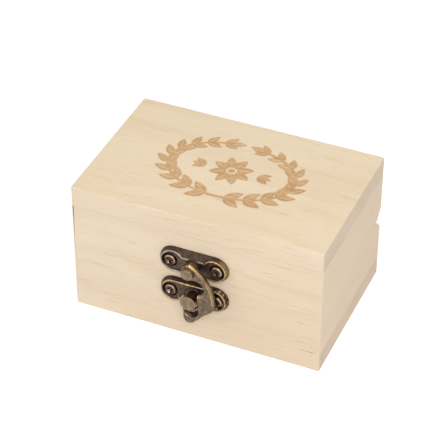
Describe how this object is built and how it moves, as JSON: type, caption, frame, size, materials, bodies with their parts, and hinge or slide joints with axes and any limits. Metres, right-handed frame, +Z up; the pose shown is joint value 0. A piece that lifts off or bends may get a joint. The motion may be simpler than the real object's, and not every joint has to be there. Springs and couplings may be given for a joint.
{
  "type": "hinged keepsake box",
  "caption": "Small pale wooden keepsake box with a hinged lid, butt hinges in a rear V groove and an antique-bronze swing-hook hasp.",
  "frame": {"origin": "middle of the case's underside, on the surface that the box stands on", "axes": "+X to the right seen from the front, -Y towards the front with the hasp, +Z up"},
  "size_m": [0.1, 0.0725, 0.0555],
  "materials": {
    "wood_lid": "pale sanded hardwood, fine straight grain, unfinished",
    "wood_case": "pale sanded hardwood, fine straight grain, unfinished",
    "wood_sides": "pale sanded hardwood, slightly greyer sides",
    "wood_base": "pale sanded hardwood board with darker end grain",
    "antique_bronze": "dark antique bronze plating, rubbed brassy on the edges",
    "worn_bronze": "antique bronze plating, rubbed bright on the face",
    "screw_metal": "bronzed steel, dark in the recesses"
  },
  "bodies": {
    "box": {"bottom_board": "wood_base", "box_front_wall": "wood_case", "box_back_wall": "wood_case", "box_left_wall": "wood_sides", "box_right_wall": "wood_sides", "keeper_plate": "antique_bronze", "keeper_stud": "worn_bronze", "keeper_screw_left": "screw_metal", "keeper_screw_right": "screw_metal", "hinge_left_box_leaf": "antique_bronze", "hinge_left_pin": "worn_bronze", "hinge_left_box_screws": "screw_metal", "hinge_right_box_leaf": "antique_bronze", "hinge_right_pin": "worn_bronze", "hinge_right_box_screws": "screw_metal"},
    "lid": {"lid_top_board": "wood_lid", "lid_front_wall": "wood_case", "lid_back_wall": "wood_case", "lid_left_wall": "wood_sides", "lid_right_wall": "wood_sides", "latch_plate": "antique_bronze", "pivot_rivet": "worn_bronze", "latch_screw_left": "screw_metal", "latch_screw_right": "screw_metal", "hinge_left_lid_leaf": "antique_bronze", "hinge_left_lid_screws": "screw_metal", "hinge_right_lid_leaf": "antique_bronze", "hinge_right_lid_screws": "screw_metal"},
    "hook": {"swing_hook": "antique_bronze"}
  },
  "joints": [
    {"name": "lid_hinge", "type": "hinge", "parent": "box", "child": "lid", "pos_m": [0, 0.02873, 0.028], "axis": [-1, 0, 0], "range_deg": [0, 100]},
    {"name": "hook_swing", "type": "hinge", "parent": "lid", "child": "hook", "pos_m": [0.0002, -0.0374, 0.0357], "axis": [0, -1, 0], "range_deg": [-5, 300]}
  ]
}
